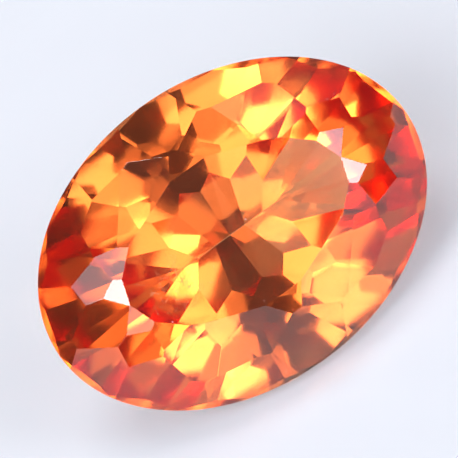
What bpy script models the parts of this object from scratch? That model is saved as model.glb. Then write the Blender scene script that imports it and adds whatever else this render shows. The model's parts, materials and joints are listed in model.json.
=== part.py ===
"""Padparadscha sapphire: one loose oval stone, facet by facet, lying on a facet of its pavilion.

The stone is cut the way a lapidary cuts it. A preform, an upright oval cylinder, loses one slice of
rough for each facet, and what is left at the end is the stone. While it is cut it stands upright: the
girdle's top edge is in the plane z = 0, the table faces +Z and the long axis is X. The finished stone
is then rolled about its long axis until one broad side facet of the pavilion lies flat on z = 0.
"""

import math
from typing import NamedTuple

import bmesh
import bpy
from mathutils import Matrix, Vector

MM = 0.001

# Driving dimensions, in millimetres.
LENGTH = 12.0
WIDTH = 8.83
CROWN_HEIGHT = 1.58
GIRDLE_THICKNESS = 0.23
GIRDLE_SIDES = 128
PREFORM_DEPTH = 8.0

# Two cut corners that come nearer to each other than this are one corner.
MEET_POINT = 0.002

STAR_ANGLE = 24.0
MAIN_ANGLE = 30.8


class Facet(NamedTuple):
    """One crown facet, cut at two places half a turn apart.

    azimuth: the way it faces, in degrees round from the long axis.
    angle: its slope, in degrees from the girdle plane.
    reach: how far from the stone's axis it would cut the plane of the table, in millimetres.
    """

    azimuth: float
    angle: float
    reach: float


class Tier(NamedTuple):
    """One ring of pavilion facets, spaced evenly round the oval.

    count: how many facets the ring has.
    turn: where the first one is, as a part of the spacing, counted from the end of the long axis.
    side_angle: the slope of the facets on the long sides, in degrees.
    end_angle: the slope of the facets at the two ends.
    drop: how far below the start of the ring above it this ring starts, in millimetres.
    """

    count: int
    turn: float
    side_angle: float
    end_angle: float
    drop: float

    def slope(self, turn: float) -> float:
        """The slope, in radians, of a facet that touches the oval at this angle."""
        fall = (self.side_angle - self.end_angle) * math.cos(turn) ** 2
        return math.radians(self.side_angle - fall)


STARS = (
    Facet(-18.0, STAR_ANGLE, 3.47),
    Facet(20.0, STAR_ANGLE, 3.40),
    Facet(-47.0, STAR_ANGLE, 2.88),
    Facet(48.5, STAR_ANGLE, 2.77),
    Facet(-68.5, 27.5, 2.30),
    Facet(70.5, 28.0, 2.25),
    Facet(90.0, 19.8, 2.20),
)
MAINS = (
    Facet(0.0, MAIN_ANGLE, 3.64),
    Facet(-31.0, MAIN_ANGLE, 3.38),
    Facet(33.5, MAIN_ANGLE, 3.27),
    Facet(-64.5, MAIN_ANGLE, 2.48),
    Facet(63.5, MAIN_ANGLE, 2.41),
    Facet(90.0, 40.0, 2.55),
)
BREAKS = (
    Facet(-20.5, 40.2, 3.91),
    Facet(20.5, 40.4, 3.88),
    Facet(-45.0, 39.8, 3.34),
    Facet(46.0, 40.6, 3.26),
    Facet(-71.5, 45.7, 2.93),
    Facet(70.5, 45.5, 2.88),
)
GIRDLE_POINTS = (
    Facet(0.0, 46.0, 4.44),
    Facet(-60.0, 48.0, 3.24),
    Facet(57.5, 45.2, 3.21),
)
PAVILION = (
    Tier(16, 0.5, 54.0, 49.0, 0.0),
    Tier(16, 0.0, 41.0, 35.0, 0.59),
    Tier(16, 0.5, 35.0, 35.5, 2.06),
)
# The ring whose facet on the long side the stone lies on.
REST_TIER = PAVILION[1]

BODY_COLOUR = (0.95, 0.42, 0.10, 1.0)
REFRACTIVE_INDEX = 1.765
POLISH_ROUGHNESS = 0.02


def clear_scene() -> None:
    """Removes every object of the scene that the file opened with."""
    for obj in list(bpy.data.objects):
        bpy.data.objects.remove(obj)


def oval_preform() -> bmesh.types.BMesh:
    """An upright oval cylinder from the plane of the table down, in millimetres."""
    rough = bmesh.new()
    bmesh.ops.create_cone(
        rough,
        cap_ends=True,
        segments=GIRDLE_SIDES,
        radius1=1.0,
        radius2=1.0,
        depth=CROWN_HEIGHT + PREFORM_DEPTH,
    )
    bmesh.ops.scale(rough, vec=(LENGTH / 2, WIDTH / 2, 1.0), verts=rough.verts)
    middle = (CROWN_HEIGHT - PREFORM_DEPTH) / 2
    bmesh.ops.translate(rough, vec=(0.0, 0.0, middle), verts=rough.verts)
    return rough


def cut(rough: bmesh.types.BMesh, point: Vector, outward: Vector) -> None:
    """Grinds away what lies outside a plane, and closes the stone with the new facet."""
    sliced = bmesh.ops.bisect_plane(
        rough,
        geom=rough.verts[:] + rough.edges[:] + rough.faces[:],
        plane_co=point,
        plane_no=outward,
        clear_outer=True,
    )
    rim = [item for item in sliced["geom_cut"] if isinstance(item, bmesh.types.BMEdge)]
    bmesh.ops.edgeloop_fill(rough, edges=rim)


def facing(azimuth: float, slope: float, side: float) -> Vector:
    """The outward direction of a facet; side is 1 on the crown and -1 on the pavilion."""
    lean = math.sin(slope)
    return Vector((lean * math.cos(azimuth), lean * math.sin(azimuth), side * math.cos(slope)))


def cut_crown(rough: bmesh.types.BMesh) -> None:
    """Cuts the star, main, break and girdle-point facets round the table."""
    for facet in STARS + MAINS + BREAKS + GIRDLE_POINTS:
        for half_turn in (0.0, math.pi):
            azimuth = math.radians(facet.azimuth) + half_turn
            point = Vector((facet.reach * math.cos(azimuth), facet.reach * math.sin(azimuth), CROWN_HEIGHT))
            cut(rough, point, facing(azimuth, math.radians(facet.angle), 1.0))


def cut_pavilion(rough: bmesh.types.BMesh) -> None:
    """Cuts the rings below the girdle, each one from where the ring above it ends."""
    for number, tier in enumerate(PAVILION):
        above = PAVILION[:number]
        drops = [lower.drop for lower in PAVILION[1:number + 1]]
        for place in range(tier.count):
            turn = math.tau * (place + tier.turn) / tier.count
            azimuth = math.atan2(math.sin(turn) / WIDTH, math.cos(turn) / LENGTH)
            reach = math.hypot(LENGTH * math.cos(azimuth), WIDTH * math.sin(azimuth)) / 2
            reach -= sum(drop / math.tan(ring.slope(turn)) for ring, drop in zip(above, drops))
            height = -GIRDLE_THICKNESS - sum(drops)
            point = Vector((reach * math.cos(azimuth), reach * math.sin(azimuth), height))
            cut(rough, point, facing(azimuth, tier.slope(turn), -1.0))


def cut_stone() -> bpy.types.Mesh:
    """Cuts the whole stone and gives it as a mesh in metres."""
    rough = oval_preform()
    cut_crown(rough)
    cut_pavilion(rough)
    bmesh.ops.remove_doubles(rough, verts=rough.verts, dist=MEET_POINT)
    bmesh.ops.recalc_face_normals(rough, faces=rough.faces)
    bmesh.ops.scale(rough, vec=(MM, MM, MM), verts=rough.verts)
    mesh = bpy.data.meshes.new("sapphire")
    rough.to_mesh(mesh)
    rough.free()
    return mesh


def sapphire_material() -> bpy.types.Material:
    """Clear pinkish orange corundum."""
    material = bpy.data.materials.new("padparadscha_sapphire")
    material.use_nodes = True
    shader = material.node_tree.nodes["Principled BSDF"]
    shader.inputs["Base Color"].default_value = BODY_COLOUR
    shader.inputs["Transmission Weight"].default_value = 1.0
    shader.inputs["IOR"].default_value = REFRACTIVE_INDEX
    shader.inputs["Roughness"].default_value = POLISH_ROUGHNESS
    return material


def lay_down(stone: bpy.types.Object) -> None:
    """Rolls the stone onto the side facet of the resting ring, over the origin."""
    roll = Matrix.Rotation(math.radians(REST_TIER.side_angle), 4, "X")
    corners = [roll @ vertex.co for vertex in stone.data.vertices]
    low = Vector(min(corner[axis] for corner in corners) for axis in range(3))
    high = Vector(max(corner[axis] for corner in corners) for axis in range(3))
    stone.rotation_euler = roll.to_euler()
    stone.location = (-(low.x + high.x) / 2, -(low.y + high.y) / 2, -low.z)


def main() -> None:
    """Builds the stone in a collection of its own."""
    clear_scene()
    collection = bpy.data.collections.new("padparadscha_sapphire")
    bpy.context.scene.collection.children.link(collection)
    stone = bpy.data.objects.new("sapphire", cut_stone())
    stone.data.materials.append(sapphire_material())
    collection.objects.link(stone)
    lay_down(stone)


main()
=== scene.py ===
"""A loose oval padparadscha sapphire, lying tipped on pale paper in soft studio light.

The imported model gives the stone's facets. Here its facet edges get the minute rounding that polishing
leaves, its body gets the optics of orange corundum, its girdle is frosted, and the fine silk, crystals and
dust of a real stone are set in and on it. Sizes of the stone and of what is in and on it are in
millimetres. Those of the studio round it are in metres, apart from the paper's gap and the camera's frame
and aim.
"""

from __future__ import annotations

import json
import logging
import math
from dataclasses import dataclass, field
from enum import Enum
from typing import Any, Iterable, Sequence

import bmesh
import bpy
import numpy as np
from mathutils import Matrix, Vector

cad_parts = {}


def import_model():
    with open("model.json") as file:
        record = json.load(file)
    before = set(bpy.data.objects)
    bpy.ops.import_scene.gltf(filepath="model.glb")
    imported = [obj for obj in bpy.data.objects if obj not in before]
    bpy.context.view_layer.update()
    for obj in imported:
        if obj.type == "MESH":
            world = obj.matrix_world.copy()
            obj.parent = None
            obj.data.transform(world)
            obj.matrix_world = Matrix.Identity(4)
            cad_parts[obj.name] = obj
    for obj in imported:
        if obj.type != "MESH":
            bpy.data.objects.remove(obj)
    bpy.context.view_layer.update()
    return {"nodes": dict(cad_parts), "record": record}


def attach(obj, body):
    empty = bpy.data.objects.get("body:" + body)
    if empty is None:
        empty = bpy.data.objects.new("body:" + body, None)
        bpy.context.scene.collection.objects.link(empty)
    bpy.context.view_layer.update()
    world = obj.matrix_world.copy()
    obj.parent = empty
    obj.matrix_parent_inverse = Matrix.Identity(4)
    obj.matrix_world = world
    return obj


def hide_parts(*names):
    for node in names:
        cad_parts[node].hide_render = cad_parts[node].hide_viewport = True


LOG = logging.getLogger("sapphire")

MM = 0.001
NODE = "sapphire"
BODY = "root"
WELD_DISTANCE = 1e-7
CROWN_HEIGHT = 1.58
GIRDLE_THICKNESS = 0.23
# How far the camera leans from the stone's up axis, in degrees along its long axis.
CAMERA_TILT = -3.6

Colour = tuple[float, float, float]


class Socket(Enum):
    """The kinds of input that a node tree here can have."""

    NUMBER = "NodeSocketFloat"
    MATERIAL = "NodeSocketMaterial"
    GEOMETRY = "NodeSocketGeometry"
    OBJECT = "NodeSocketObject"


class Speck(Enum):
    """What a small mark in or on the stone is."""

    CRYSTAL = "crystal"
    DUST = "dust"
    PIT = "pit"


def rgba(colour: Colour) -> tuple[float, float, float, float]:
    """The colour with a full alpha."""
    return (*colour, 1.0)


class Graph:
    """A node tree being wired: it adds nodes and joins their sockets."""

    def __init__(self, tree: bpy.types.NodeTree) -> None:
        """Starts on an empty tree.

        Args:
            tree: the node tree to fill; what it holds is cleared.
        """
        self.tree = tree
        tree.nodes.clear()

    def add(self, kind: str, inputs: dict[Any, Any] | None = None, **settings: Any) -> bpy.types.Node:
        """Adds a node.

        Args:
            kind: the node's type name in Blender.
            inputs: socket name or number to a value, or to an output socket that is linked to it.
            settings: the node's own properties.

        Returns:
            The new node.
        """
        node = self.tree.nodes.new(kind)
        for name, value in settings.items():
            setattr(node, name, value)
        for key, value in (inputs or {}).items():
            if isinstance(value, bpy.types.NodeSocket):
                self.tree.links.new(value, node.inputs[key])
            else:
                node.inputs[key].default_value = value
        return node

    def math(self, operation: str, *values: Any) -> bpy.types.NodeSocket:
        """Adds a Math node and gives its output."""
        inputs = dict(enumerate(values))
        return self.add("ShaderNodeMath", inputs, operation=operation).outputs[0]

    def vector(self, operation: str, first: Any, second: Any) -> bpy.types.Node:
        """Adds a Vector Math node on two vectors."""
        return self.add("ShaderNodeVectorMath", {0: first, 1: second}, operation=operation)

    def ramp(self, value: Any, start: float, end: float, low: Any, high: Any) -> bpy.types.NodeSocket:
        """Adds a smooth step from low to high as the value goes from start to end, and gives its output."""
        inputs = {"Value": value, "From Min": start, "From Max": end, "To Min": low, "To Max": high}
        return self.add("ShaderNodeMapRange", inputs, interpolation_type="SMOOTHSTEP").outputs[0]

    def noise(self, coordinates: Any, scale: float, detail: float = 2.0) -> bpy.types.NodeSocket:
        """Adds a noise texture and gives its grey output."""
        inputs = {"Vector": coordinates, "Scale": scale, "Detail": detail}
        return self.add("ShaderNodeTexNoise", inputs).outputs["Fac"]


@dataclass(frozen=True)
class StoneAxes:
    """Where the stone is and how it is turned, read from the table facet in the record.

    centre is on the stone's axis in the plane of the girdle's top edge; along runs down its long axis,
    across over its short axis, and up out of the table.
    """

    centre: Vector
    along: Vector
    across: Vector
    up: Vector

    @classmethod
    def of_record(cls, record: dict[str, Any]) -> StoneAxes:
        """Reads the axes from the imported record.

        Args:
            record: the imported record, with a mount named table.

        Returns:
            The stone's axes in the frame of the model.
        """
        table = next(mount for mount in record["mounts"] if mount["name"] == "table")
        up = Vector(table["axis"]).normalized()
        along = Vector((1.0, 0.0, 0.0))
        centre = Vector(table["pos_m"]) - up * CROWN_HEIGHT * MM
        return cls(centre, along, up.cross(along).normalized(), up)

    def point(self, along: float, across: float, up: float) -> Vector:
        """The place this many millimetres along, across and up from the centre."""
        return self.centre + self.direction(along, across, up) * MM

    def direction(self, along: float, across: float, up: float) -> Vector:
        """The vector with these parts along the stone's axes."""
        return self.along * along + self.across * across + self.up * up

    def toward(self, tilt: float, bearing: float) -> Vector:
        """A direction.

        Args:
            tilt: degrees away from the stone's up axis.
            bearing: degrees round from its long axis towards its short axis.

        Returns:
            The unit vector.
        """
        lean, turn = math.radians(tilt), math.radians(bearing)
        flat = math.sin(lean)
        return self.direction(flat * math.cos(turn), flat * math.sin(turn), math.cos(lean))


@dataclass(frozen=True)
class Corundum:
    """The finish of the stone: clear orange sapphire, polished facets and a frosted girdle.

    The three absorptions are how much of red, green and blue light is lost in each millimetre. The scales
    of the patterns are in waves to the metre, and girdle_lean is how far a face that counts as girdle may
    lean out of upright.
    """

    name: str = "padparadscha_corundum"
    refractive_index: float = 1.765
    absorption: Colour = (0.014, 0.158, 0.315)
    absorption_scale: float = 400.0
    crown_roughness: float = 0.012
    pavilion_roughness: float = 0.085
    girdle_roughness: float = 0.42
    tint: Colour = (1.0, 0.99, 0.985)
    zone_tint: Colour = (1.0, 0.97, 0.95)
    zone_scale: float = 260.0
    zone_range: tuple[float, float] = (0.35, 0.65)
    girdle_lean: tuple[float, float] = (0.10, 0.20)
    best_polish: float = 0.6
    frost_scale: float = 9000.0
    frost_detail: float = 4.0
    frost_range: tuple[float, float] = (0.3, 0.7)
    frost_change: tuple[float, float] = (0.8, 1.2)
    lap_scale: float = 700.0
    lap_wave: float = 0.0016

    def material(self, axes: StoneAxes) -> bpy.types.Material:
        """Makes the material.

        Args:
            axes: the stone's axes, which tell crown, girdle and pavilion apart.

        Returns:
            The material, with its patterns on object coordinates.
        """
        material = bpy.data.materials.new(self.name)
        material.use_nodes = True
        graph = Graph(material.node_tree)
        place = graph.add("ShaderNodeTexCoord")
        spot = place.outputs["Object"]
        offset = graph.vector("SUBTRACT", spot, axes.centre).outputs[0]
        height = graph.vector("DOT_PRODUCT", offset, axes.up).outputs["Value"]
        lean = graph.vector("DOT_PRODUCT", place.outputs["Normal"], axes.up).outputs["Value"]
        upright = graph.ramp(graph.math("ABSOLUTE", lean), *self.girdle_lean, 1.0, 0.0)
        polished = graph.ramp(
            height, -GIRDLE_THICKNESS * MM, 0.0, self.pavilion_roughness, self.crown_roughness
        )
        facet = graph.add("ShaderNodeAttribute", attribute_name="facet_polish").outputs["Fac"]
        smear = graph.math("MULTIPLY", polished, graph.math("ADD", self.best_polish, facet))
        frost = graph.noise(spot, self.frost_scale, self.frost_detail)
        grain = graph.ramp(frost, *self.frost_range, *self.frost_change)
        frosted = graph.math("MULTIPLY", grain, self.girdle_roughness)
        blend = graph.add("ShaderNodeMix", {"Factor": upright, 2: smear, 3: frosted})
        zoning = graph.ramp(graph.noise(spot, self.zone_scale, 1.0), *self.zone_range, 0.0, 1.0)
        tint = graph.add(
            "ShaderNodeMix", {"Factor": zoning, 6: rgba(self.tint), 7: rgba(self.zone_tint)}, data_type="RGBA"
        )
        waves = graph.noise(spot, self.lap_scale, 1.0)
        lap = graph.add(
            "ShaderNodeBump", {"Height": waves, "Distance": self.lap_wave * MM, "Strength": 1.0}
        )
        shader = graph.add(
            "ShaderNodeBsdfPrincipled",
            {
                "Base Color": tint.outputs[2],
                "Roughness": blend.outputs[0],
                "IOR": self.refractive_index,
                "Transmission Weight": 1.0,
                "Normal": lap.outputs[0],
            },
        )
        kept = tuple(1.0 - taken / (self.absorption_scale * MM) for taken in self.absorption)
        inside = graph.add(
            "ShaderNodeVolumeAbsorption", {"Color": rgba(kept), "Density": self.absorption_scale}
        )
        graph.add(
            "ShaderNodeOutputMaterial", {"Surface": shader.outputs[0], "Volume": inside.outputs[0]}
        )
        return material


@dataclass(frozen=True)
class SpeckFinish:
    """The finish of small solid marks: dust, tiny crystals and silk."""

    name: str
    colour: Colour
    shade: Colour
    roughness: float = 0.6
    grain: float = 40000.0

    def material(self) -> bpy.types.Material:
        """Makes the material, mottled at the scale of the speck itself."""
        material = bpy.data.materials.new(self.name)
        material.use_nodes = True
        graph = Graph(material.node_tree)
        spot = graph.add("ShaderNodeTexCoord").outputs["Object"]
        mottle = graph.noise(spot, self.grain)
        colour = graph.add(
            "ShaderNodeMix", {"Factor": mottle, 6: rgba(self.shade), 7: rgba(self.colour)}, data_type="RGBA"
        )
        shader = graph.add(
            "ShaderNodeBsdfPrincipled", {"Base Color": colour.outputs[2], "Roughness": self.roughness}
        )
        graph.add("ShaderNodeOutputMaterial", {"Surface": shader.outputs[0]})
        return material


@dataclass(frozen=True)
class Paper:
    """The finish of the sheet of paper that the stone lies on. It glows with painted light, as if lit from
    below though no lamp is there, and this lightens the stone's shadow on it.
    """

    name: str = "pale_paper"
    colour: Colour = (0.275, 0.288, 0.318)
    # Painted light: the paper's own glow, its colour and strength, which lightens the shadows on it.
    painted_glow_colour: Colour = (0.92, 0.95, 1.0)
    glow: float = 0.28
    fibre_shade: float = 0.985
    fibre_scale: float = 350.0
    fibre_detail: float = 3.0
    fibre_range: tuple[float, float] = (0.35, 0.65)
    tooth_scale: float = 2500.0
    tooth_height: float = 1e-5
    tooth_strength: float = 0.3
    roughness: float = 0.85

    def material(self) -> bpy.types.Material:
        """Makes the material, with a faint mottle and tooth."""
        material = bpy.data.materials.new(self.name)
        material.use_nodes = True
        graph = Graph(material.node_tree)
        spot = graph.add("ShaderNodeTexCoord").outputs["Object"]
        fibres = graph.noise(spot, self.fibre_scale, self.fibre_detail)
        mottle = graph.ramp(fibres, *self.fibre_range, 0.0, 1.0)
        darker = tuple(channel * self.fibre_shade for channel in self.colour)
        colour = graph.add(
            "ShaderNodeMix", {"Factor": mottle, 6: rgba(darker), 7: rgba(self.colour)}, data_type="RGBA"
        )
        tooth = graph.add(
            "ShaderNodeBump",
            {
                "Height": graph.noise(spot, self.tooth_scale, self.fibre_detail),
                "Distance": self.tooth_height,
                "Strength": self.tooth_strength,
            },
        )
        shader = graph.add(
            "ShaderNodeBsdfPrincipled",
            {
                "Base Color": colour.outputs[2],
                "Roughness": self.roughness,
                "Normal": tooth.outputs[0],
                # Painted light: emission on the paper that stands in for fill light and lightens the stone's
                # contact shadow.
                "Emission Color": rgba(self.painted_glow_colour),
                "Emission Strength": self.glow,
            },
        )
        graph.add("ShaderNodeOutputMaterial", {"Surface": shader.outputs[0]})
        return material


class GeometryTree:
    """A Geometry Nodes tree with named inputs, and the modifier that runs it once."""

    def __init__(self, name: str, inputs: dict[str, Socket]) -> None:
        """Starts the tree.

        Args:
            name: what the tree is called.
            inputs: the name and kind of each input after the geometry itself.
        """
        self.tree = bpy.data.node_groups.new(name, "GeometryNodeTree")
        self.graph = Graph(self.tree)
        face = self.tree.interface
        face.new_socket("Geometry", in_out="INPUT", socket_type=Socket.GEOMETRY.value)
        for label, kind in inputs.items():
            face.new_socket(label, in_out="INPUT", socket_type=kind.value)
        face.new_socket("Geometry", in_out="OUTPUT", socket_type=Socket.GEOMETRY.value)
        self.given = self.graph.add("NodeGroupInput").outputs

    def end(self, geometry: bpy.types.NodeSocket) -> None:
        """Ends the tree in Realize Instances and Set Material."""
        real = self.graph.add("GeometryNodeRealizeInstances", {"Geometry": geometry})
        dressed = self.graph.add(
            "GeometryNodeSetMaterial", {"Geometry": real.outputs[0], "Material": self.given["Material"]}
        )
        self.graph.add("NodeGroupOutput", {"Geometry": dressed.outputs[0]})

    def run(self, source: bpy.types.Mesh, name: str, values: dict[str, Any]) -> bpy.types.Object:
        """Runs the tree on a mesh.

        Args:
            source: the mesh that the tree starts from.
            name: the name of the object made.
            values: a value for each named input.

        Returns:
            An object with the plain mesh that came out, at the origin.
        """
        maker = bpy.data.objects.new(name + "_source", source)
        bpy.context.scene.collection.objects.link(maker)
        modifier = maker.modifiers.new("build", "NODES")
        modifier.node_group = self.tree
        for item in self.tree.interface.items_tree:
            if item.in_out == "INPUT" and item.name in values:
                modifier[item.identifier] = values[item.name]
        bpy.context.view_layer.update()
        graph = bpy.context.evaluated_depsgraph_get()
        mesh = bpy.data.meshes.new_from_object(maker.evaluated_get(graph))
        mesh.name = name
        maker.modifiers.clear()
        bpy.data.objects.remove(maker)
        made = bpy.data.objects.new(name, mesh)
        bpy.context.scene.collection.objects.link(made)
        return made


def point_mesh(name: str, points: Iterable[Vector]) -> bpy.types.Mesh:
    """A mesh of loose vertices, for a tree to place things on."""
    mesh = bpy.data.meshes.new(name)
    mesh.from_pydata([tuple(point) for point in points], [], [])
    return mesh


def fasten(piece: bpy.types.Object) -> None:
    """Makes a piece of the stone ride with it."""
    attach(piece, BODY)


@dataclass
class PolishedStone:
    """The stone itself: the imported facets, with their edges rounded as a polishing lap leaves them.

    The corners are drawn in towards middle, by the edge radius at inner_reach from it, and so a little
    more further out.
    """

    axes: StoneAxes
    finish: Corundum = field(default_factory=Corundum)
    edge_radius: float = 0.016
    polish_spread: float = 0.8
    seed: int = 7
    ball_subdivisions: int = 2
    middle: tuple[float, float, float] = (0.0, 0.0, -1.2)
    inner_reach: float = 3.5

    def corners(self, node: bpy.types.Object) -> bpy.types.Mesh:
        """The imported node's mesh, with its loose triangles joined."""
        mesh = node.data.copy()
        joined = bmesh.new()
        joined.from_mesh(mesh)
        bmesh.ops.remove_doubles(joined, verts=joined.verts, dist=WELD_DISTANCE)
        joined.to_mesh(mesh)
        joined.free()
        mesh.materials.clear()
        return mesh

    def rounding_tree(self) -> GeometryTree:
        """A tree that puts a small ball inside each corner and wraps them all in one skin."""
        made = GeometryTree(
            "rounded_facets",
            {"Edge Radius": Socket.NUMBER, "Shrink": Socket.NUMBER, "Material": Socket.MATERIAL},
        )
        graph, given = made.graph, made.given
        middle = graph.add("ShaderNodeCombineXYZ", dict(enumerate(self.axes.point(*self.middle))))
        position = graph.add("GeometryNodeInputPosition").outputs[0]
        arm = graph.vector("SUBTRACT", position, middle.outputs[0]).outputs[0]
        shorter = graph.add("ShaderNodeVectorMath", {0: arm, "Scale": given["Shrink"]}, operation="SCALE")
        inner = graph.vector("ADD", shorter.outputs[0], middle.outputs[0]).outputs[0]
        drawn_in = graph.add("GeometryNodeSetPosition", {"Geometry": given["Geometry"], "Position": inner})
        points = graph.add("GeometryNodeMeshToPoints", {"Mesh": drawn_in.outputs[0]})
        ball = graph.add(
            "GeometryNodeMeshIcoSphere",
            {"Radius": given["Edge Radius"], "Subdivisions": self.ball_subdivisions},
        )
        placed = graph.add(
            "GeometryNodeInstanceOnPoints", {"Points": points.outputs[0], "Instance": ball.outputs[0]}
        )
        balls = graph.add("GeometryNodeRealizeInstances", {"Geometry": placed.outputs[0]})
        skin = graph.add("GeometryNodeConvexHull", {"Geometry": balls.outputs[0]})
        made.end(skin.outputs[0])
        return made

    def build(self, node: bpy.types.Object) -> bpy.types.Object:
        """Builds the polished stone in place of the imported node.

        Args:
            node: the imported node's object.

        Returns:
            The finished stone.
        """
        values = {
            "Edge Radius": self.edge_radius * MM,
            "Shrink": 1.0 - self.edge_radius / self.inner_reach,
            "Material": self.finish.material(self.axes),
        }
        stone = self.rounding_tree().run(self.corners(node), "polished_stone", values)
        for polygon in stone.data.polygons:
            polygon.use_smooth = False
        self.mark_facets(stone.data)
        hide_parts(NODE)
        fasten(stone)
        return stone

    def mark_facets(self, mesh: bpy.types.Mesh) -> None:
        """Gives each facet a polish of its own, as an attribute from 0 to the spread."""
        draw = np.random.default_rng(self.seed)
        polish = mesh.attributes.new("facet_polish", "FLOAT", "FACE")
        values = draw.random(len(mesh.polygons)) * self.polish_spread
        polish.data.foreach_set("value", values.astype(np.float32))


@dataclass(frozen=True)
class Mark:
    """One speck that shows in or on the stone: its kind, its place and its size.

    along and across are its place seen straight from above the table; depth is how far below the surface
    it lies, and is less than zero where it lies on top.
    """

    kind: Speck
    along: float
    across: float
    depth: float
    size: float


@dataclass
class Specks:
    """The separate specks in and on the stone: tiny crystals, grains of dust, nicks and pits."""

    axes: StoneAxes
    seed: int = 3
    start_height: float = 4.0
    fall_length: float = 1.0
    most_turn: tuple[float, float, float] = (6.28, 6.28, 6.28)
    least_stretch: tuple[float, float, float] = (0.6, 0.6, 0.35)
    most_stretch: tuple[float, float, float] = (1.3, 1.0, 0.8)
    marks: Sequence[Mark] = (
        Mark(Speck.DUST, 0.42, 0.11, -0.004, 0.046),
        Mark(Speck.DUST, -0.50, -2.05, -0.004, 0.034),
        Mark(Speck.CRYSTAL, -0.61, -1.41, 0.25, 0.030),
        Mark(Speck.CRYSTAL, -0.82, -2.08, 0.35, 0.024),
        Mark(Speck.CRYSTAL, -0.81, -2.27, 0.30, 0.026),
        Mark(Speck.CRYSTAL, -0.60, -2.84, 0.40, 0.022),
        Mark(Speck.DUST, -2.93, -1.03, -0.003, 0.030),
        Mark(Speck.DUST, 3.28, 0.71, -0.003, 0.030),
        Mark(Speck.DUST, 3.18, -0.98, -0.003, 0.032),
        Mark(Speck.DUST, 2.63, -1.41, -0.003, 0.026),
        Mark(Speck.DUST, 4.32, 1.51, -0.003, 0.024),
        Mark(Speck.DUST, 4.58, 1.53, -0.003, 0.020),
        Mark(Speck.DUST, 4.51, 1.10, -0.003, 0.020),
        Mark(Speck.PIT, -2.93, -1.93, 0.10, 0.026),
        Mark(Speck.PIT, -1.60, -0.94, 0.20, 0.028),
        Mark(Speck.PIT, -1.42, -0.27, 0.30, 0.022),
        Mark(Speck.CRYSTAL, 2.99, -1.64, 0.15, 0.022),
        Mark(Speck.CRYSTAL, 3.43, -2.51, 0.20, 0.022),
        Mark(Speck.CRYSTAL, 1.35, 0.62, 0.55, 0.020),
        Mark(Speck.CRYSTAL, 0.20, 1.02, 0.70, 0.018),
    )

    def finish(self, kind: Speck) -> SpeckFinish:
        """The finish of one kind of speck."""
        return {
            Speck.CRYSTAL: SpeckFinish("inner_crystal", (0.95, 0.90, 0.84), (0.80, 0.70, 0.58)),
            Speck.DUST: SpeckFinish("dust_grain", (0.96, 0.96, 0.98), (0.82, 0.82, 0.86)),
            Speck.PIT: SpeckFinish("dark_crystal", (0.10, 0.05, 0.03), (0.03, 0.02, 0.02), 0.4),
        }[kind]

    def grain_tree(self, kind: Speck) -> GeometryTree:
        """A tree that drops each point onto the stone and sets an angular grain there."""
        made = GeometryTree(
            kind.value + "_grains",
            {"Stone": Socket.OBJECT, "Size": Socket.NUMBER, "Material": Socket.MATERIAL},
        )
        graph, given = made.graph, made.given
        down = self.axes.direction(0.0, 0.0, -1.0)
        stone = graph.add("GeometryNodeObjectInfo", {"Object": given["Stone"]}, transform_space="RELATIVE")
        fall = graph.add(
            "GeometryNodeRaycast",
            {
                "Target Geometry": stone.outputs["Geometry"],
                "Ray Direction": down,
                "Ray Length": self.fall_length,
            },
        )
        depth = graph.add("GeometryNodeInputNamedAttribute", {"Name": "depth"}, data_type="FLOAT")
        sunk = graph.add("ShaderNodeVectorMath", {0: down, "Scale": depth.outputs[0]}, operation="SCALE")
        place = graph.vector("ADD", fall.outputs["Hit Position"], sunk.outputs[0]).outputs[0]
        dropped = graph.add("GeometryNodeSetPosition", {"Geometry": given["Geometry"], "Position": place})
        grain = graph.add("GeometryNodeMeshIcoSphere", {"Radius": given["Size"], "Subdivisions": 1})
        turn = graph.add(
            "FunctionNodeRandomValue",
            {"Max": self.most_turn, "Seed": self.seed},
            data_type="FLOAT_VECTOR",
        )
        size = graph.add("GeometryNodeInputNamedAttribute", {"Name": "size"}, data_type="FLOAT")
        stretch = graph.add(
            "FunctionNodeRandomValue",
            {"Min": self.least_stretch, "Max": self.most_stretch, "Seed": self.seed + 1},
            data_type="FLOAT_VECTOR",
        )
        scale = graph.add(
            "ShaderNodeVectorMath", {0: stretch.outputs[0], "Scale": size.outputs[0]}, operation="SCALE"
        )
        placed = graph.add(
            "GeometryNodeInstanceOnPoints",
            {
                "Points": dropped.outputs[0],
                "Instance": grain.outputs[0],
                "Rotation": turn.outputs[0],
                "Scale": scale.outputs[0],
            },
        )
        made.end(placed.outputs[0])
        return made

    def build(self, stone: bpy.types.Object) -> list[bpy.types.Object]:
        """Builds one piece for each kind of speck.

        Args:
            stone: the polished stone that the specks lie in and on.

        Returns:
            The pieces made.
        """
        pieces = []
        for kind in Speck:
            marks = [mark for mark in self.marks if mark.kind is kind]
            points = [self.axes.point(mark.along, mark.across, self.start_height) for mark in marks]
            source = point_mesh(kind.value + "_points", points)
            size = source.attributes.new("size", "FLOAT", "POINT")
            size.data.foreach_set("value", [mark.size for mark in marks])
            depth = source.attributes.new("depth", "FLOAT", "POINT")
            depth.data.foreach_set("value", [mark.depth * MM for mark in marks])
            values = {"Stone": stone, "Size": MM / 2, "Material": self.finish(kind).material()}
            piece = self.grain_tree(kind).run(source, kind.value + "_grains", values)
            fasten(piece)
            pieces.append(piece)
        return pieces


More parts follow.
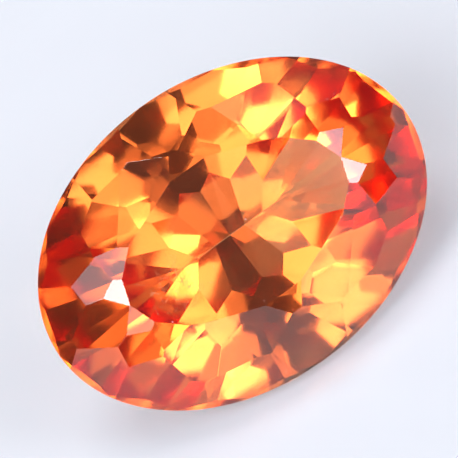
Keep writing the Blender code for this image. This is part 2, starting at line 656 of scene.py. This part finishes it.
@dataclass
class Silk:
    """Rutile silk: sheaves of fine needles inside the stone, lying in the three directions of its crystal.

    thickness is the needle's radius, and the directions are in degrees from the long axis.
    """

    axes: StoneAxes
    seed: int = 11
    needles: int = 90
    length: float = 0.34
    shortest_share: float = 0.35
    thickness: float = 0.0035
    needle_sides: int = 5
    directions: int = 3
    first_direction: float = 20.0
    direction_step: float = 60.0
    centre: tuple[float, float, float] = (-2.2, -0.2, 0.15)
    spread: tuple[float, float, float] = (0.9, 0.7, 0.25)
    finish: SpeckFinish = SpeckFinish("rutile_silk", (0.92, 0.88, 0.80), (0.80, 0.72, 0.60), 0.35)

    def needle_tree(self) -> GeometryTree:
        """A tree that lays a thin needle at each point, turned to its own one of three directions."""
        made = GeometryTree(
            "silk_needles",
            {"Length": Socket.NUMBER, "Thickness": Socket.NUMBER, "Material": Socket.MATERIAL},
        )
        graph, given = made.graph, made.given
        needle = graph.add(
            "GeometryNodeMeshCylinder",
            {"Vertices": self.needle_sides, "Radius": given["Thickness"], "Depth": given["Length"]},
        )
        turn = graph.add("GeometryNodeInputNamedAttribute", {"Name": "turn"}, data_type="FLOAT_VECTOR")
        size = graph.add(
            "FunctionNodeRandomValue",
            {2: self.shortest_share, 3: 1.0, "Seed": self.seed},
            data_type="FLOAT",
        )
        scale = graph.add("ShaderNodeCombineXYZ", {0: 1.0, 1: 1.0, 2: size.outputs[1]})
        placed = graph.add(
            "GeometryNodeInstanceOnPoints",
            {
                "Points": given["Geometry"],
                "Instance": needle.outputs[0],
                "Rotation": turn.outputs[0],
                "Scale": scale.outputs[0],
            },
        )
        made.end(placed.outputs[0])
        return made

    def build(self) -> bpy.types.Object:
        """Builds the silk.

        Returns:
            The piece made.
        """
        draw = np.random.default_rng(self.seed)
        places = np.array(self.centre) + draw.normal(size=(self.needles, 3)) * np.array(self.spread) / 2
        turns = []
        for which in draw.integers(0, self.directions, self.needles):
            angle = math.radians(self.first_direction + self.direction_step * int(which))
            way = self.axes.direction(math.cos(angle), math.sin(angle), 0.0)
            turns.extend(way.to_track_quat("Z", "Y").to_euler())
        source = point_mesh("silk_points", [self.axes.point(*place) for place in places.tolist()])
        turn = source.attributes.new("turn", "FLOAT_VECTOR", "POINT")
        turn.data.foreach_set("vector", turns)
        values = {
            "Length": self.length * MM,
            "Thickness": self.thickness * MM,
            "Material": self.finish.material(),
        }
        piece = self.needle_tree().run(source, "silk_needles", values)
        fasten(piece)
        return piece


@dataclass
class CrownDust:
    """The finest dust, scattered thinly over the crown, at this many grains to the square metre."""

    axes: StoneAxes
    seed: int = 5
    density: float = 350000.0
    size: float = 0.007
    lowest: float = 0.1
    least_stretch: tuple[float, float, float] = (0.3, 0.3, 0.2)
    most_stretch: tuple[float, float, float] = (1.0, 0.8, 0.6)
    finish: SpeckFinish = SpeckFinish("fine_dust", (0.94, 0.94, 0.97), (0.80, 0.80, 0.85))

    def scatter_tree(self) -> GeometryTree:
        """A tree that scatters grains over the faces above the girdle."""
        made = GeometryTree(
            "crown_dust",
            {"Density": Socket.NUMBER, "Size": Socket.NUMBER, "Material": Socket.MATERIAL},
        )
        graph, given = made.graph, made.given
        position = graph.add("GeometryNodeInputPosition").outputs[0]
        offset = graph.vector("SUBTRACT", position, self.axes.centre).outputs[0]
        height = graph.vector("DOT_PRODUCT", offset, self.axes.up).outputs["Value"]
        above = graph.math("GREATER_THAN", height, self.lowest * MM)
        points = graph.add(
            "GeometryNodeDistributePointsOnFaces",
            {
                "Mesh": given["Geometry"],
                "Selection": above,
                "Density": given["Density"],
                "Seed": self.seed,
            },
        )
        grain = graph.add("GeometryNodeMeshIcoSphere", {"Radius": given["Size"], "Subdivisions": 1})
        scale = graph.add(
            "FunctionNodeRandomValue",
            {"Min": self.least_stretch, "Max": self.most_stretch, "Seed": self.seed},
            data_type="FLOAT_VECTOR",
        )
        placed = graph.add(
            "GeometryNodeInstanceOnPoints",
            {
                "Points": points.outputs["Points"],
                "Instance": grain.outputs[0],
                "Rotation": points.outputs["Rotation"],
                "Scale": scale.outputs[0],
            },
        )
        made.end(placed.outputs[0])
        return made

    def build(self, stone: bpy.types.Object) -> bpy.types.Object:
        """Builds the dust.

        Args:
            stone: the polished stone that it lies on.

        Returns:
            The piece made.
        """
        values = {"Density": self.density, "Size": self.size * MM, "Material": self.finish.material()}
        piece = self.scatter_tree().run(stone.data.copy(), "crown_dust", values)
        fasten(piece)
        return piece


@dataclass
class SoftLight:
    """A soft patch of brightness in the room round the stone.

    tilt and bearing say where it is from the stone's axes; it is at full strength inside core degrees
    and gone past edge degrees.
    """

    tilt: float
    bearing: float
    core: float
    edge: float
    strength: float


@dataclass
class Room:
    """The pale room: its walls' light, the dimmer side behind the camera, and soft bright patches."""

    axes: StoneAxes
    colour: Colour = (0.93, 0.93, 1.0)
    wall: float = 0.09
    behind_camera: float = 0.15
    dim_core: float = 18.0
    dim_edge: float = 50.0
    patches: Sequence[SoftLight] = (
        SoftLight(42.0, 14.0, 8.0, 20.0, 5.0),
        SoftLight(36.0, -35.0, 5.0, 27.0, 1.7),
        SoftLight(44.0, 139.0, 9.0, 27.0, 2.9),
        SoftLight(50.0, -167.0, 6.0, 13.0, 2.4),
        SoftLight(25.0, -163.0, 7.0, 20.0, 5.5),
        SoftLight(76.0, 58.0, 7.0, 20.0, 0.8),
    )

    def build(self) -> None:
        """Makes the world."""
        world = bpy.data.worlds.new("pale_room")
        bpy.context.scene.world = world
        world.use_nodes = True
        graph = Graph(world.node_tree)
        way = graph.add("ShaderNodeTexCoord").outputs["Generated"]
        ahead = graph.vector("DOT_PRODUCT", way, self.axes.toward(CAMERA_TILT, 0.0)).outputs["Value"]
        light = graph.ramp(
            ahead,
            math.cos(math.radians(self.dim_edge)),
            math.cos(math.radians(self.dim_core)),
            self.wall,
            self.behind_camera,
        )
        for patch in self.patches:
            toward = graph.vector("DOT_PRODUCT", way, self.axes.toward(patch.tilt, patch.bearing))
            glow = graph.ramp(
                toward.outputs["Value"],
                math.cos(math.radians(patch.edge)),
                math.cos(math.radians(patch.core)),
                0.0,
                patch.strength,
            )
            light = graph.math("ADD", light, glow)
        shade = graph.add("ShaderNodeBackground", {"Color": rgba(self.colour), "Strength": light})
        graph.add("ShaderNodeOutputWorld", {"Surface": shade.outputs[0]})


@dataclass
class Softbox:
    """A soft studio lamp: where it hangs from the stone, its two sides in metres and its power in watts."""

    name: str
    tilt: float
    bearing: float
    distance: float
    sides: tuple[float, float]
    power: float

    def build(self, axes: StoneAxes) -> None:
        """Hangs the lamp facing the stone."""
        lamp = bpy.data.lights.new(self.name, "AREA")
        lamp.shape = "RECTANGLE"
        lamp.size, lamp.size_y = self.sides
        lamp.energy = self.power
        way = axes.toward(self.tilt, self.bearing)
        hung = bpy.data.objects.new(self.name, lamp)
        hung.location = axes.centre + way * self.distance
        hung.rotation_euler = (-way).to_track_quat("-Z", "Y").to_euler()
        bpy.context.scene.collection.objects.link(hung)


@dataclass
class Studio:
    """The paper, the lamps, the room and the camera."""

    axes: StoneAxes
    paper: Paper = field(default_factory=Paper)
    paper_side: float = 3.0
    paper_cells: int = 8
    paper_gap: float = 0.03
    camera_distance: float = 0.30
    frame_width: float = 12.93
    long_axis_turn: float = 35.8
    aim_right: float = -0.1056
    aim_up: float = 0.1186
    sensor: float = 36.0
    nearest: float = 0.01
    farthest: float = 10.0
    bounces: int = 24
    diffuse_bounces: int = 3
    brightest_bounce: float = 12.0
    softboxes: Sequence[Softbox] = (
        Softbox("softbox_right", 49.0, -18.0, 0.35, (0.12, 0.15), 0.5),
        Softbox("softbox_left", 50.0, 159.0, 0.35, (0.13, 0.22), 0.85),
        Softbox("softbox_above", 62.0, 90.0, 0.60, (0.36, 0.18), 2.6),
    )

    def build(self) -> None:
        """Sets up everything round the stone."""
        self.lay_paper()
        for softbox in self.softboxes:
            softbox.build(self.axes)
        Room(self.axes).build()
        self.place_camera()
        self.set_light_paths()

    def lay_paper(self) -> None:
        """Lays a wide sheet of paper under the stone, as far below it as its fibres hold the facet up."""
        sheet = bmesh.new()
        bmesh.ops.create_grid(
            sheet, x_segments=self.paper_cells, y_segments=self.paper_cells, size=self.paper_side / 2
        )
        bmesh.ops.translate(sheet, vec=(0.0, 0.0, -self.paper_gap * MM), verts=sheet.verts)
        mesh = bpy.data.meshes.new("paper_floor")
        sheet.to_mesh(mesh)
        sheet.free()
        mesh.materials.append(self.paper.material())
        floor = bpy.data.objects.new("paper_floor", mesh)
        bpy.context.scene.collection.objects.link(floor)

    def place_camera(self) -> None:
        """Looks down on the table, with the long axis rising to the right."""
        view = self.axes.toward(CAMERA_TILT, 0.0)
        level = self.axes.toward(CAMERA_TILT + 90.0, 0.0)
        turn = math.radians(self.long_axis_turn)
        right = level * math.cos(turn) - self.axes.across * math.sin(turn)
        above = level * math.sin(turn) + self.axes.across * math.cos(turn)
        data = bpy.data.cameras.new("portrait")
        data.sensor_width = self.sensor
        data.lens = self.sensor * self.camera_distance / (self.frame_width * MM)
        data.clip_start = self.nearest
        data.clip_end = self.farthest
        camera = bpy.data.objects.new("portrait", data)
        aim = self.axes.centre + (right * self.aim_right + above * self.aim_up) * MM
        turned = Matrix((right, above, view)).transposed().to_4x4()
        camera.matrix_world = Matrix.Translation(aim + view * self.camera_distance) @ turned
        bpy.context.scene.collection.objects.link(camera)
        bpy.context.scene.camera = camera

    def set_light_paths(self) -> None:
        """Lets light bounce round the stone as often as it does in a real one."""
        scene = bpy.context.scene
        scene.cycles.max_bounces = self.bounces
        scene.cycles.transmission_bounces = self.bounces
        scene.cycles.glossy_bounces = self.bounces
        scene.cycles.diffuse_bounces = self.diffuse_bounces
        scene.cycles.blur_glossy = 0.0
        scene.cycles.sample_clamp_indirect = self.brightest_bounce
        scene.cycles.use_denoising = True
        scene.cycles.denoising_input_passes = "RGB"
        scene.view_settings.view_transform = "Standard"


def main() -> None:
    """Builds the stone and its studio in order."""
    logging.basicConfig(level=logging.INFO, format="%(name)s: %(message)s")
    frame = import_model()
    axes = StoneAxes.of_record(frame["record"])
    stone = PolishedStone(axes).build(frame["nodes"][NODE])
    LOG.info("%s: %d faces", stone.name, len(stone.data.polygons))
    for piece in (*Specks(axes).build(stone), Silk(axes).build(), CrownDust(axes).build(stone)):
        LOG.info("%s: %d faces", piece.name, len(piece.data.polygons))
    Studio(axes).build()


if __name__ == "__main__":
    main()
